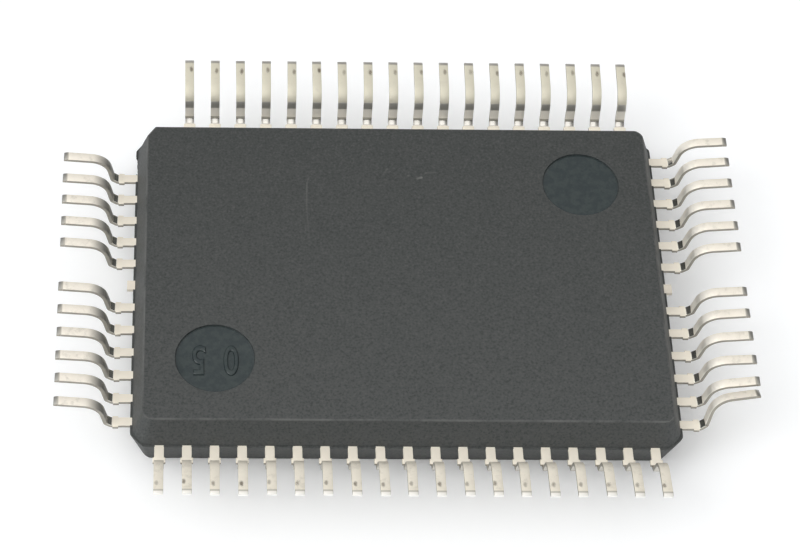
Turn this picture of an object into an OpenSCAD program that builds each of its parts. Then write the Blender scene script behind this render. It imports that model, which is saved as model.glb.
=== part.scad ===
// Quad flat pack of a display controller: a moulded body, formed leads and the pieces sealed inside.
// It lies on its marked face, as it does on a bench, so the solder feet point up. All sizes in millimetres.

/* [Body] */
// Length of the underside's half at the parting line
body_l = 20; // [18:0.1:23]
// Width of the underside's half at the parting line
body_w = 14; // [12:0.1:17]
// How far the marked half stands out past the underside's half, all round
parting_ledge = 0.07; // [0.02:0.01:0.12]
// Depth of the moulding from the lead frame to the marked face
marked_h = 1.35; // [1.2:0.05:1.8]
// Depth of the moulding from the lead frame to the underside
under_h = 1.2; // [0.9:0.05:1.6]
// Draft of the walls beside the marked face
marked_draft = 15.5; // [5:0.5:18]
// Draft of the walls beside the underside
under_draft = 17.5; // [5:0.5:20]
// Chamfer of three corners, along each side at the parting line
corner_c = 0.45; // [0.2:0.05:0.7]
// Chamfer of the corner beside the gate, along the length at the parting line
gate_corner_l = 0.5; // [0.2:0.05:0.7]
// Chamfer of the corner beside the gate, along the width at the parting line
gate_corner_w = 0.7; // [0.2:0.05:0.8]
// Length of the scar that the broken gate left in the ledge
scar_l = 0.8; // [0.4:0.05:0.8]
// Height of the gate's scar
scar_h = 0.3; // [0.1:0.05:0.5]
// Diameter of the two ejector recesses in the underside
ejector_d = 2.9; // [1.5:0.1:3.6]
// Depth of the ejector recesses
ejector_depth = 0.08; // [0.04:0.01:0.2]
// Distance of each ejector recess from the middle, along the length
ejector_x = 7; // [5:0.1:7.2]
// Distance of each ejector recess from the middle, along the width
ejector_y = 4; // [2.5:0.1:4.3]
// Diameter of the index dimple in the marked face
dimple_d = 1.2; // [0.6:0.1:2]
// Depth of the index dimple
dimple_depth = 0.1; // [0.05:0.01:0.2]
// Distance of the dimple's centre from the two nearest sides of the body
dimple_in = 1.8; // [1.5:0.1:2.5]

/* [Leads] */
// Pitch of the leads
pitch = 1; // [0.8:0.05:1.2]
// Least distance from the last lead's middle to the body's corner
corner_clear = 0.95; // [0.9:0.05:1.5]
// Thickness of the lead-frame sheet
sheet_t = 0.15; // [0.1:0.01:0.2]
// Width of a lead outside the body
lead_w = 0.35; // [0.3:0.01:0.45]
// Reach of a lead from the body wall to its tip
lead_reach = 2.8; // [2.5:0.05:3.2]
// Straight run of a lead from the body wall to its first bend
shoulder_run = 0.72; // [0.72:0.01:0.9]
// Inside radius of a lead's first bend, at the shoulder
shoulder_bend_r = 0.18; // [0.1:0.01:0.3]
// Inside radius of a lead's second bend, at the foot
foot_bend_r = 0.7; // [0.2:0.05:0.8]
// Lean of the rising part of a lead from upright
riser_lean = 11.5; // [4:0.5:20]
// Tilt of the solder foot
foot_tilt = 5.5; // [0:0.5:8]
// Height of the tips above the underside of the body
stand_off = 0.22; // [0.1:0.01:0.3]
// How far the remains of the dam bar stand out on each side of a lead
dam_out = 0.07; // [0.03:0.01:0.09]
// Distance of the dam bar from the body wall
dam_run = 0.5; // [0.35:0.01:0.5]
// Width of the dam bar
dam_w = 0.21; // [0.1:0.01:0.22]
// Straight run of a lead inside the body before it fans in
root_run = 0.5; // [0.3:0.05:0.8]
// Width of a lead at its inner tip
tip_w = 0.2; // [0.1:0.01:0.24]
// Sideways twist of the bent corner lead
corner_twist = 17; // [0:1:20]
// Sweep of the bent corner lead towards its neighbour
corner_sweep = 4; // [0:1:5]
// Extra lift of the foot beside the bent corner lead
neighbour_lift = 5; // [0:1:8]

/* [Inside] */
// Length of the die paddle
paddle_l = 8.4; // [7.6:0.1:9]
// Width of the die paddle
paddle_w = 5.8; // [5.4:0.1:6.4]
// Height of the paddle off the plane of the leads
paddle_offset = 0.25; // [0.2:0.01:0.4]
// Gap between the paddle and the inner tips of the leads
paddle_gap = 0.5; // [0.4:0.05:0.7]
// Width of a tie bar
tie_w = 0.4; // [0.3:0.01:0.5]
// Length of the tie bar's stub outside the body
tie_stub = 0.3; // [0.1:0.05:0.45]
// Straight run of the tie bar beside the paddle before it slopes
tie_flat = 0.3; // [0.2:0.05:0.6]
// Length of the die
die_l = 6; // [5:0.1:6.6]
// Width of the die
die_w = 4.4; // [3.6:0.1:4.8]
// Thickness of the die
die_t = 0.4; // [0.3:0.01:0.45]
// Thickness of the die-attach layer
attach_t = 0.03; // [0.02:0.005:0.06]
// Distance of the bond pads from the die's edge
pad_in = 0.12; // [0.08:0.01:0.2]
// Distance of the last bond pad from the die's corner
pad_corner = 0.45; // [0.3:0.05:0.8]
// Thickness of a bond wire
wire_t = 0.03; // [0.02:0.005:0.05]
// Height of a wire's loop above the die
loop_h = 0.2; // [0.15:0.01:0.3]
// Distance of the wire's stitch from the lead's inner tip
stitch_in = 0.25; // [0.2:0.01:0.4]
// Length of the wire's flattened stitch
stitch_l = 0.06; // [0.04:0.01:0.1]
// Diameter of the ball under the wire's start
ball_d = 0.08; // [0.06:0.005:0.1]
// Height of the ball
ball_h = 0.02; // [0.015:0.005:0.04]

/* [Hidden] */

$fn = 48;
bend_steps = 6;
ball_sides = 8;

mould_colour = [0.32, 0.33, 0.33];
plating_colour = [0.88, 0.86, 0.8];
sheet_colour = [0.72, 0.7, 0.66];
adhesive_colour = [0.62, 0.64, 0.66];
silicon_colour = [0.35, 0.38, 0.45];
gold_colour = [0.9, 0.72, 0.3];

half_l = body_l / 2;
half_w = body_w / 2;
body_h = marked_h + sheet_t + under_h;
parting_z = marked_h + sheet_t;
marked_inset = parting_z * tan(marked_draft);
under_inset = (body_h - parting_z) * tan(under_draft);
// Any prism that has to pass the whole part is this long
span = 2 * (body_l + body_w);

// Last lead place on each side, counted from the middle
long_last = floor((half_l - corner_clear) / pitch);
short_last = floor((half_w - corner_clear) / pitch);
front_slots = [for (i = [-long_last : long_last]) i];
back_slots = [for (i = [-long_last + 1 : long_last]) i];
left_slots = [for (i = [-short_last : short_last - 1]) if (i != 0) i];
right_slots = [for (i = [-short_last : short_last - 2]) if (i != 0) i];
bent_slots = [short_last - 1, short_last];

// How far the inner leads reach in, and the pitch of their tips
long_depth = half_w - paddle_w / 2 - paddle_gap;
short_depth = half_l - paddle_l / 2 - paddle_gap;
long_tip_pitch = paddle_l / 2 / long_last;
short_tip_pitch = paddle_w / 2 / short_last;

// Straight lengths of the riser and the foot that give the lead its reach and its height
turn_up = 90 - riser_lean;
turn_back = turn_up - foot_tilt;
lead_rise = under_h + stand_off;
foot_top_r = foot_bend_r + sheet_t;
first_run = shoulder_run + shoulder_bend_r * sin(turn_up);
first_rise = shoulder_bend_r * (1 - cos(turn_up));
run_left = lead_reach - first_run - foot_top_r * (sin(turn_up) - sin(foot_tilt));
rise_left = lead_rise - first_rise - foot_top_r * (cos(foot_tilt) - cos(turn_up));
riser_run = (rise_left * cos(foot_tilt) - run_left * sin(foot_tilt)) / sin(turn_back);
foot_run = (run_left * sin(turn_up) - rise_left * cos(turn_up)) / sin(turn_back);

paddle_z = marked_h + paddle_offset;
die_top_z = paddle_z - attach_t;
die_face_z = die_top_z - die_t;
long_pad_pitch = (die_l / 2 - pad_corner) / long_last;
short_pad_pitch = (die_w / 2 - pad_corner) / short_last;

function backwards(list) = [for (i = [len(list) - 1 : -1 : 0]) list[i]];

// Moulded body

// One wall of the body from the marked face up to the underside; hand is 1 or -1
function wall_line(reach, hand) = [
    [hand * (reach + parting_ledge - marked_inset), 0],
    [hand * (reach + parting_ledge), parting_z],
    [hand * reach, parting_z],
    [hand * (reach - under_inset), body_h]
];

// Level prism between two such walls, which face a direction and its opposite
module wall_prism(facing, reach, opposite_reach) {
    rotate([0, 0, facing])
        rotate([90, 0, 0])
            linear_extrude(span, center = true)
                polygon(concat(wall_line(reach, 1), backwards(wall_line(opposite_reach, -1))));
}

module body_block() {
    corner_reach = (half_l + half_w - corner_c) / sqrt(2);
    gate_facing = 90 + atan2(gate_corner_w, gate_corner_l);
    gate_reach = [half_w - gate_corner_w, half_l] * [gate_corner_l, gate_corner_w]
        / norm([gate_corner_l, gate_corner_w]);
    intersection() {
        wall_prism(0, half_l, half_l);
        wall_prism(90, half_w, half_w);
        wall_prism(45, corner_reach, corner_reach);
        wall_prism(-45, corner_reach, span);
        wall_prism(gate_facing, gate_reach, span);
    }
}

// Where the gate broke out a piece of the ledge, between the corner and the first lead
module gate_scar() {
    first_lead = max(left_slots) * pitch + lead_w / 2;
    translate([-half_l - body_h, first_lead, parting_z - scar_h])
        cube([body_h, scar_l, body_h]);
}

module ejector_recesses() {
    for (side = [-1, 1])
        translate([side * ejector_x, side * ejector_y, body_h - ejector_depth])
            cylinder(d = ejector_d, h = body_h);
}

module index_dimple() {
    translate([-half_l + dimple_in, half_w - dimple_in, dimple_depth - body_h])
        cylinder(d = dimple_d, h = body_h);
}

module moulded_body() {
    color(mould_colour)
        difference() {
            body_block();
            gate_scar();
            ejector_recesses();
            index_dimple();
            front_leads();
            back_leads();
            left_leads();
            right_leads();
            bent_leads();
            die_paddle();
            die_attach();
            die();
            front_wires();
            back_wires();
            left_wires();
            right_wires();
        }
}

// Leads: each row is drawn with its wall facing +Y, and then turned to its side of the body

// One edge of a lead in plan, from its outer end to its inner tip; hand is 1 or -1
function lead_edge(middle, tip, depth, end, hand) = [
    [middle + hand * lead_w / 2, end],
    [middle + hand * lead_w / 2, dam_run + dam_w],
    [middle + hand * (lead_w / 2 + dam_out), dam_run + dam_w],
    [middle + hand * (lead_w / 2 + dam_out), dam_run],
    [middle + hand * lead_w / 2, dam_run],
    [middle + hand * lead_w / 2, -root_run],
    [tip + hand * tip_w / 2, -depth]
];

function lead_outline(slot, tip_pitch, depth, end) = concat(
    lead_edge(slot * pitch, slot * tip_pitch, depth, end, 1),
    backwards(lead_edge(slot * pitch, slot * tip_pitch, depth, end, -1))
);

// Part of a ring, as a bend is seen from the side
module bend_section(inside_r, from, to) {
    outside_r = inside_r + sheet_t;
    far = 2 * outside_r;
    middle = (from + to) / 2;
    intersection() {
        difference() {
            circle(outside_r);
            circle(inside_r);
        }
        polygon([
            [0, 0],
            far * [cos(from), sin(from)],
            far * [cos(middle), sin(middle)],
            far * [cos(to), sin(to)]
        ]);
    }
}

// A lead seen from the side, with its inner tip at -depth and the body wall at 0
module lead_section(depth) {
    translate([-depth, 0])
        square([depth + shoulder_run, sheet_t]);
    translate([shoulder_run, shoulder_bend_r + sheet_t]) {
        bend_section(shoulder_bend_r, -90, turn_up - 90);
        rotate(turn_up)
            translate([0, -shoulder_bend_r - sheet_t]) {
                square([riser_run, sheet_t]);
                translate([riser_run, -foot_bend_r]) {
                    bend_section(foot_bend_r, 90 - turn_back, 90);
                    rotate(-turn_back)
                        translate([0, foot_bend_r])
                            square([foot_run, sheet_t]);
                }
            }
    }
}

module lead_row(slots, tip_pitch, depth, wall) {
    color(plating_colour)
        translate([0, wall, 0])
            intersection() {
                translate([0, 0, marked_h])
                    rotate([90, 0, 90])
                        linear_extrude(span, center = true)
                            lead_section(depth);
                linear_extrude(span)
                    for (slot = slots)
                        polygon(lead_outline(slot, tip_pitch, depth, span));
            }
}

module front_leads() {
    rotate([0, 0, 180])
        lead_row(front_slots, long_tip_pitch, long_depth, half_w);
}

module back_leads() {
    lead_row(back_slots, long_tip_pitch, long_depth, half_w);
}

module left_leads() {
    rotate([0, 0, 90])
        lead_row(left_slots, short_tip_pitch, short_depth, half_l);
}

module right_leads() {
    rotate([0, 0, -90])
        lead_row(right_slots, short_tip_pitch, short_depth, half_l);
}

// Bent leads: the strip past the shoulder as a sweep of sections along its middle line

// Stations along the middle line: run, height above the shoulder, heading, and share of the twist
function first_bend_stations() = [
    for (k = [0 : bend_steps])
        let (heading = turn_up * k / bend_steps, r = shoulder_bend_r + sheet_t / 2)
            [shoulder_run + r * sin(heading), r * (1 - cos(heading)), heading, k / bend_steps]
];

function second_bend_stations(start, tilt) = [
    for (k = [0 : bend_steps])
        let (heading = turn_up - (turn_up - tilt) * k / bend_steps, r = foot_bend_r + sheet_t / 2)
            [start[0] + r * (sin(turn_up) - sin(heading)), start[1] + r * (cos(heading) - cos(turn_up)), heading, 1]
];

function ahead(station, run) = [
    station[0] + run * cos(station[2]),
    station[1] + run * sin(station[2]),
    station[2],
    station[3]
];

function bent_stations(tilt) =
    let (first = first_bend_stations())
    let (second = second_bend_stations(ahead(first[bend_steps], riser_run), tilt))
        concat(first, second, [ahead(second[bend_steps], foot_run)]);

// A corner of the strip's section at a station: across the width, and up through the thickness
function section_corner(station, across, up, twist, sweep) =
    let (run = station[0] - up * sin(station[2]), height = station[1] + up * cos(station[2]))
    let (a = twist * station[3], b = sweep * station[3])
    let (side = across * cos(a) - height * sin(a), out = run - shoulder_run)
        [
            side * cos(b) - out * sin(b),
            shoulder_run + out * cos(b) + side * sin(b),
            across * sin(a) + height * cos(a)
        ];

module bent_strip(tilt, twist, sweep) {
    stations = bent_stations(tilt);
    last = len(stations) - 1;
    corners = [[-lead_w, -sheet_t], [lead_w, -sheet_t], [lead_w, sheet_t], [-lead_w, sheet_t]] / 2;
    points = [
        for (station = stations)
            for (corner = corners)
                section_corner(station, corner[0], corner[1], twist, sweep)
    ];
    sides = [
        for (k = [0 : last - 1])
            for (i = [0 : 3])
                let (j = (i + 1) % 4)
                    [4 * k + i, 4 * k + j, 4 * k + 4 + j, 4 * k + 4 + i]
    ];
    polyhedron(points, concat([[3, 2, 1, 0]], sides, [[for (i = [0 : 3]) 4 * last + i]]));
}

module bent_lead(slot, tilt, twist, sweep) {
    translate([0, half_l, marked_h]) {
        linear_extrude(sheet_t)
            polygon(lead_outline(slot, short_tip_pitch, short_depth, shoulder_run));
        translate([slot * pitch, 0, sheet_t / 2])
            bent_strip(tilt, twist, sweep);
    }
}

module bent_leads() {
    color(plating_colour)
        rotate([0, 0, -90]) {
            bent_lead(bent_slots[0], foot_tilt + neighbour_lift, 0, 0);
            bent_lead(bent_slots[1], foot_tilt, corner_twist, corner_sweep);
        }
}

// Pieces sealed inside

// Tie bar seen from the side, from the middle of the paddle to its cut end
module tie_bar_section() {
    slope_start = paddle_l / 2 + tie_flat;
    slope_end = slope_start + paddle_offset;
    stub_end = half_l + tie_stub;
    polygon([
        [0, paddle_offset],
        [slope_start, paddle_offset],
        [slope_end, 0],
        [stub_end, 0],
        [stub_end, sheet_t],
        [slope_end, sheet_t],
        [slope_start, paddle_offset + sheet_t],
        [0, paddle_offset + sheet_t]
    ]);
}

module die_paddle() {
    color(sheet_colour) {
        translate([-paddle_l / 2, -paddle_w / 2, paddle_z])
            cube([paddle_l, paddle_w, sheet_t]);
        for (turn = [0, 180])
            rotate([0, 0, turn])
                translate([0, tie_w / 2, marked_h])
                    rotate([90, 0, 0])
                        linear_extrude(tie_w)
                            tie_bar_section();
    }
}

module die_attach() {
    color(adhesive_colour)
        translate([-die_l / 2, -die_w / 2, die_top_z])
            cube([die_l, die_w, attach_t]);
}

module die() {
    color(silicon_colour)
        translate([-die_l / 2, -die_w / 2, die_face_z])
            cube([die_l, die_w, die_t]);
}

// Bond wires: a ball on the die, a loop below the die's face, and a stitch on the lead

// Wire seen from the side, with the die's face at 0 and the lead's face at -drop
module wire_section(reach) {
    drop = marked_h - die_face_z;
    knee = reach / 3;
    polygon([
        [-wire_t / 2, 0],
        [-wire_t / 2, loop_h + wire_t],
        [knee, loop_h + wire_t],
        [reach, wire_t - drop],
        [reach, -drop],
        [reach - stitch_l, -drop],
        [knee, loop_h],
        [wire_t / 2, loop_h],
        [wire_t / 2, 0]
    ]);
}

module wire(start, end) {
    across = end - start;
    translate([start[0], start[1], die_face_z])
        rotate([0, 0, atan2(across[1], across[0])])
            rotate([-90, 0, 0]) {
                linear_extrude(wire_t, center = true)
                    wire_section(norm(across));
                rotate([-90, 0, 0])
                    cylinder(d = ball_d, h = ball_h, $fn = ball_sides);
            }
}

// Middle of a lead in plan, at a distance from its inner tip
function lead_middle(slot, tip_pitch, depth, from_tip) =
    let (share = from_tip / (depth - root_run))
        [slot * (tip_pitch + (pitch - tip_pitch) * share), from_tip - depth];

module wire_row(slots, pad_pitch, pad_line, tip_pitch, depth, wall) {
    color(gold_colour)
        for (slot = slots)
            wire([slot * pad_pitch, pad_line], [0, wall] + lead_middle(slot, tip_pitch, depth, stitch_in));
}

module long_wires(slots) {
    wire_row(slots, long_pad_pitch, die_w / 2 - pad_in, long_tip_pitch, long_depth, half_w);
}

module short_wires(slots) {
    wire_row(slots, short_pad_pitch, die_l / 2 - pad_in, short_tip_pitch, short_depth, half_l);
}

module front_wires() {
    rotate([0, 0, 180])
        long_wires(front_slots);
}

module back_wires() {
    long_wires(back_slots);
}

module left_wires() {
    rotate([0, 0, 90])
        short_wires(left_slots);
}

module right_wires() {
    rotate([0, 0, -90])
        short_wires(concat(right_slots, bent_slots));
}

moulded_body();
front_leads();
back_leads();
left_leads();
right_leads();
bent_leads();
die_paddle();
die_attach();
die();
front_wires();
back_wires();
left_wires();
right_wires();
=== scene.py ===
import math
import random

import bmesh
import bpy
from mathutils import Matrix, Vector


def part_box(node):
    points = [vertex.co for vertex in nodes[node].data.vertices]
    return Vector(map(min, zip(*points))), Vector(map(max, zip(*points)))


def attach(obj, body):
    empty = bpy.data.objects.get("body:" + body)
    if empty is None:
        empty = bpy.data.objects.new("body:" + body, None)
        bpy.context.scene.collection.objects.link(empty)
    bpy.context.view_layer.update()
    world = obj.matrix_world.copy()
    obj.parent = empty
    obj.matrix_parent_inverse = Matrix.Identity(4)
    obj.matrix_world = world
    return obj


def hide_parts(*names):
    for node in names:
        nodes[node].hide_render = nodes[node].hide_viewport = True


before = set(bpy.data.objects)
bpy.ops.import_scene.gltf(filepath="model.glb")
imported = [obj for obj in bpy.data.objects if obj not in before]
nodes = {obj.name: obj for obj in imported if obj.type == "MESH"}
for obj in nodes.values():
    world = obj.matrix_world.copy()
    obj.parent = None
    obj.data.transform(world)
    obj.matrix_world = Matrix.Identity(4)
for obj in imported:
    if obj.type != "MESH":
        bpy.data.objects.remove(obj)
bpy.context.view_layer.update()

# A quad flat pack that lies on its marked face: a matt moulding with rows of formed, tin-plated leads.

MM = 0.001
HANDLING_SEED = 60
random.seed(HANDLING_SEED)

# Sizes of the moulding, from the frame where it has them

body_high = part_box("moulded_body")[1]
LEDGE_HALF_L = body_high.x
LEDGE_HALF_W = body_high.y
BODY_H = body_high.z
SHEET_T = 0.15 * MM
LEAD_Z = 1.35 * MM
PARTING_Z = LEAD_Z + SHEET_T
PARTING_LEDGE = 0.07 * MM
PARTING_LAND = 0.03 * MM
HALF_L = LEDGE_HALF_L - PARTING_LEDGE
HALF_W = LEDGE_HALF_W - PARTING_LEDGE
MARKED_DRAFT = math.radians(15.5)
UNDER_DRAFT = math.radians(17.5)
CORNER_C = 0.49 * MM
GATE_CORNER_L = 0.53 * MM
GATE_CORNER_W = 0.75 * MM
CORNER_ROUND = 0.16 * MM
GATE_CORNER_ROUND = 0.05 * MM
RIM_ROUND = 0.05 * MM
LEDGE_ROUND = 0.02 * MM
ROUND_STEPS = 3
EJECTOR_R = 1.45 * MM
EJECTOR_DEPTH = 0.08 * MM
EJECTOR_PLACES = [Vector((-7 * MM, -4 * MM, 0)), Vector((7 * MM, 4 * MM, 0))]
EJECTOR_RIM = 0.015 * MM
EJECTOR_FILLET = 0.02 * MM
EJECTOR_SIDES = 96
EJECTOR_STEPS = 2
DIMPLE_R = 0.6 * MM
DIMPLE_DEPTH = 0.1 * MM
DIMPLE_PLACE = Vector((-8.2 * MM, 5.2 * MM, 0))
DIMPLE_SIDES = 64
SCAR_L = 0.8 * MM
SCAR_H = 0.42 * MM
SCAR_START = 5.19 * MM
SCAR_ROUGH = 0.03 * MM
SCAR_CUTS = 7
SCAR_SEED = 4

# Digits in the front pit; slope, thinning and doubles are in the lettering's own units
DIGITS = "05"
DIGIT_H = 1.45 * MM
DIGIT_NARROW = 0.66
DIGIT_SPACING = 2.05
DIGIT_RAISE = 0.06 * MM
DIGIT_SLOPE = 0.04
DIGIT_SLOPE_STEPS = 2
DIGIT_THIN = 0.015
DIGIT_DOUBLES = 0.0005

# Sizes of the leads; a row's places are counted from the middle of its side

PITCH = 1 * MM
LONG_LAST = 9
SHORT_LAST = 6
LEAD_W = 0.35 * MM
SHOULDER_RUN = 0.72 * MM
SHOULDER_BEND_R = 0.18 * MM
CREASE_R = 0.04 * MM
FOOT_BEND_R = 0.7 * MM
TURN_UP = math.radians(78.5)
FOOT_TILT = math.radians(5.5)
TURN_BACK = TURN_UP - FOOT_TILT
LEAD_REACH = 2.8 * MM
LEAD_RISE = 1.42 * MM
DAM_OUT = 0.055 * MM
DAM_RUN = 0.5 * MM
DAM_W = 0.21 * MM
ROOT_RUN = 0.5 * MM
INNER_TIP_W = 0.2 * MM
LONG_DEPTH = 3.6 * MM
SHORT_DEPTH = 5.3 * MM
LONG_TIP_PITCH = 4.2 * MM / LONG_LAST
SHORT_TIP_PITCH = 2.9 * MM / SHORT_LAST
ROLLED_EDGE = 0.015 * MM
ROLLED_STEPS = 2
SHEARED_EDGE = 0.015 * MM
TIP_ROLL_RUN = 0.17 * MM
TIP_ROLL_DROP = 0.055 * MM
TIP_ROLL_POWER = 1.5
TIP_STEPS = 4
CREASE_STEPS = 3
BEND_STEPS = 12
BURNISH_SHARE = 0.28
CORNER_TWIST = math.radians(17)
CORNER_SWEEP = math.radians(4)
NEIGHBOUR_LIFT = math.radians(5)
FRONT_LEAN = math.radians(3.5)
FRONT_TILT = math.radians(6.5)
FRONT_DRAWN_IN = 0.066 * MM
MOST_SWAY = math.radians(0.5)
MOST_LIFT = math.radians(0.8)

# The first bend is crimped: two tight creases with a flat facet between them, inside the CAD bend's arc
CREASE = TURN_UP / 2
CREASE_ARC = (CREASE_R + SHEET_T / 2) * CREASE
FACET_RUN = 2 * (SHOULDER_BEND_R - CREASE_R) * math.sin(CREASE)
FOOT_ARC = (FOOT_BEND_R + SHEET_T / 2) * TURN_BACK
FOOT_TOP_R = FOOT_BEND_R + SHEET_T
RUN_LEFT = (
    LEAD_REACH - SHOULDER_RUN - SHOULDER_BEND_R * math.sin(TURN_UP)
    - FOOT_TOP_R * (math.sin(TURN_UP) - math.sin(FOOT_TILT))
)
RISE_LEFT = (
    LEAD_RISE - SHOULDER_BEND_R * (1 - math.cos(TURN_UP))
    - FOOT_TOP_R * (math.cos(FOOT_TILT) - math.cos(TURN_UP))
)
RISER_RUN = (RISE_LEFT * math.cos(FOOT_TILT) - RUN_LEFT * math.sin(FOOT_TILT)) / math.sin(TURN_BACK)
FOOT_RUN = (RUN_LEFT * math.sin(TURN_UP) - RISE_LEFT * math.cos(TURN_UP)) / math.sin(TURN_BACK)
SECOND_CREASE = SHOULDER_RUN + CREASE_ARC + FACET_RUN
RISER_START = SECOND_CREASE + CREASE_ARC
RISER_END = RISER_START + RISER_RUN
BURNISH_END = RISER_END + BURNISH_SHARE * FOOT_ARC
FOOT_START = RISER_END + FOOT_ARC
STRIP_END = FOOT_START + FOOT_RUN

# What counts as the same place, as facing an axis, as upright, as a sharp edge and as a rim's slope
TINY = 0.001 * MM
DOUBLES = 0.0001 * MM
FACING = 0.9
UPRIGHT = 0.6
SHARP = 1
RIM_SLOPES = (0.35, 0.995)

# Smooth shading: the angles, in degrees, and how far wide faces lead
BODY_SMOOTH = 40
LEAD_SMOOTH = 35
WIDE_FACES_LEAD = 100

# Patterns that finishes share: how much broader the mottle is, and how far rolling draws lines out
MOTTLE_BROADER = 14.0
DRAWN_OUT = (1, 0.06, 1)

# Finish of the moulding: tones, then grain, masks and shares, with places in millimetres
MOULD_TONES = ((0.035, 0.04, 0.038), (0.047, 0.05, 0.048))
# A painted sheen, laid lighter over the face towards the front
FRONT_SHEEN_TONE = (0.1, 0.104, 0.102)
PORE_TONE = (0.012, 0.016, 0.016)
FILLER_TONE = (0.1, 0.1, 0.1)
# A painted highlight along the rounded rims
RIM_HIGHLIGHT_TONE = (0.14, 0.14, 0.135)
SCUFF_TONE = (0.3, 0.3, 0.28)
PIT_TONES = ((0.004, 0.016, 0.019), (0.016, 0.03, 0.03))
MOULD_GRAINS = 11.0
# Where the painted sheen runs from and to along Y, and its share
FRONT_SHEEN_RUN = (8.0, -9.0)
FRONT_SHEEN_SHARE = 0.28
PORE_GRAIN = (0.52, 0.3)
PORE_SHARE = 0.6
FILLER_GRAIN = (0.52, 0.75)
FILLER_SHARE = 0.45
RIM_MOTTLE = (0.35, 0.65)
RIM_LEAST = 0.15
RIM_MORE = 0.45
UPPER_SOFT = 0.1
PIT_SOFT = 0.02
PIT_SHARE = 0.8
PIT_GRAINS = 3.5
PIT_SMEAR = (0.4, 0.62)
MOULD_ROUGHNESS = 0.6
PIT_SMOOTHER = -0.34
MOULD_BUMP = 0.35
PIT_FLATTER = -0.27
MOULD_RELIEF = 0.012 * MM

# Scuffs of the upper face, in millimetres: start, end, width and strength
SCUFFS = (
    ((-3.5, 3.95), (-3.53, 2.7), 0.045, 0.14),
    ((-3.42, 4.2), (-3.5, 3.95), 0.045, 0.1),
    ((-3.53, 2.7), (-3.46, 1.4), 0.045, 0.06),
    ((-0.4, 4.65), (-0.55, 4.45), 0.055, 0.12),
    ((0.4, 4.34), (0.47, 4.34), 0.06, 0.15),
    ((0.9, 4.26), (0.75, 4.22), 0.08, 0.35),
    ((1.05, 4.48), (1.45, 4.5), 0.045, 0.12),
)
SCUFF_FADE = 0.5
SCUFF_CORE = 0.25

# How far each row's risers take painted shade for facing away from the window, and how far its feet are
# painted darker as painted shade for their dimmer reflection
ROW_PAINTED_SHADE = {"front": (0.5, 0.35), "back": (0.0, 1.0), "left": (1.0, 0.0), "right": (0.05, 0.1)}

# Tones of the plating; a pair is for clean and dull tin, or for the short and the long sides
FRESH_TIN = ((0.97, 0.9, 0.77), (0.92, 0.86, 0.74))
WORN_TIN = ((0.96, 0.9, 0.79), (0.89, 0.83, 0.73))
# Painted shade on the feet by each row's share, most on the back row, standing in for their dimmer
# reflection
SHADED_FOOT_TIN = (0.67, 0.635, 0.515)
STAIN_TONE = (0.6, 0.56, 0.47)
# The risers' two tones are a lit and a shaded copy of the tin: painted light and painted shade, mixed by
# each row's share
LIT_RISER = (0.97, 0.93, 0.84)
SHADED_RISER = (0.34, 0.33, 0.3)
LONG_BEND_TONE = (0.66, 0.64, 0.58)
# A painted shadow line in the crease at the riser's foot, on the long rows
CREASE_SHADOW_TONE = (0.48, 0.46, 0.4)
CRIMP_TONES = ((0.9, 0.87, 0.8), (0.44, 0.425, 0.39))
# Painted shade on the rolled-over tips, grey on the long rows and darker on the short ones
TIP_SHADE_TONES = ((0.42, 0.41, 0.38), (0.8, 0.78, 0.73))
# A painted highlight on the ends of the long rows' leads
END_HIGHLIGHT_TONE = (0.96, 0.94, 0.9)
# A painted shade line where the tip starts to roll over
ROLL_START_SHADE_TONE = (0.5, 0.47, 0.41)
# Painted shade on the cut sides and on the flanks of the rolled tips
SIDE_SHADE_TONE = (0.36, 0.34, 0.29)
PROBE_TONE = (0.17, 0.14, 0.1)

# Where the plating's zones end and how soft they are, in millimetres
ZONE_SOFT = 0.02
CREASE_LINE = 0.08
TIP_SOFT = 0.04
ROLL_START_SHADE_W = 0.06
END_FADE = (0.012, 0.004)
SIDE_BELOW_TOP = 0.02
SIDE_SOFT = 0.01
FLANK = (0.16, 0.17)

# Patterns of the plating: each lead's own shift, lines and stains per millimetre, and how far a stain shows
OWN_SHIFT = 40.0
TIN_LINES = 22.0
STAIN_GRAINS = 4.0
STAIN_GRAIN = (0.5, 0.72)
STAIN_SHARE = 0.5

# Shine of the plating: roughness, what each zone takes off it, and how metallic the zones are
TIN_ROUGHNESS = 0.44
TIN_DULLER = 0.08
ZONE_SMOOTHER = {"bend": -0.16, "tip": -0.14, "crimp": -0.3}
METAL_LEAST = 0.3
METAL_MORE = 0.7
BEND_METAL = 0.3
LONG_BEND_METAL = 0.3
FOOT_METAL = 0.15
TIN_BUMP = 0.2
TIN_RELIEF = 0.003 * MM

# Marks of the test probes, in millimetres: from the tip, how far they stray, their form and strength
PROBE_IN = 0.45
PROBE_SPREAD = 0.1
PROBE_ASIDE = 0.025
PROBE_SQUEEZE = (1.5, 0.8, 0)
PROBE_RAGGED = 0.08
PROBE_GRAINS = 14.0
PROBE_EDGE = (0.18, 0.08)
PROBE_LEAST = 0.4
PROBE_MORE = 0.6

# Finishes of the sealed pieces: two tones, roughness, lines or grains per millimetre, and metallic
SHEET_TONES = ((0.88, 0.81, 0.69), (0.8, 0.74, 0.64))
SHEET_ROUGHNESS = 0.38
SHEET_LINES = 18.0
SHEET_METAL = 0.6
FILLED = {
    "adhesive": ((0.56, 0.58, 0.6), (0.66, 0.68, 0.7), 0.5, 30.0, 0),
    "silicon": ((0.31, 0.34, 0.41), (0.37, 0.4, 0.48), 0.12, 20.0, 0),
    "gold": ((0.86, 0.66, 0.25), (0.92, 0.75, 0.34), 0.18, 40.0, 1),
}
FILLED_ROUGHER = 0.1

# Camera, fitted to the photograph's frame of 800 by 553

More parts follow.
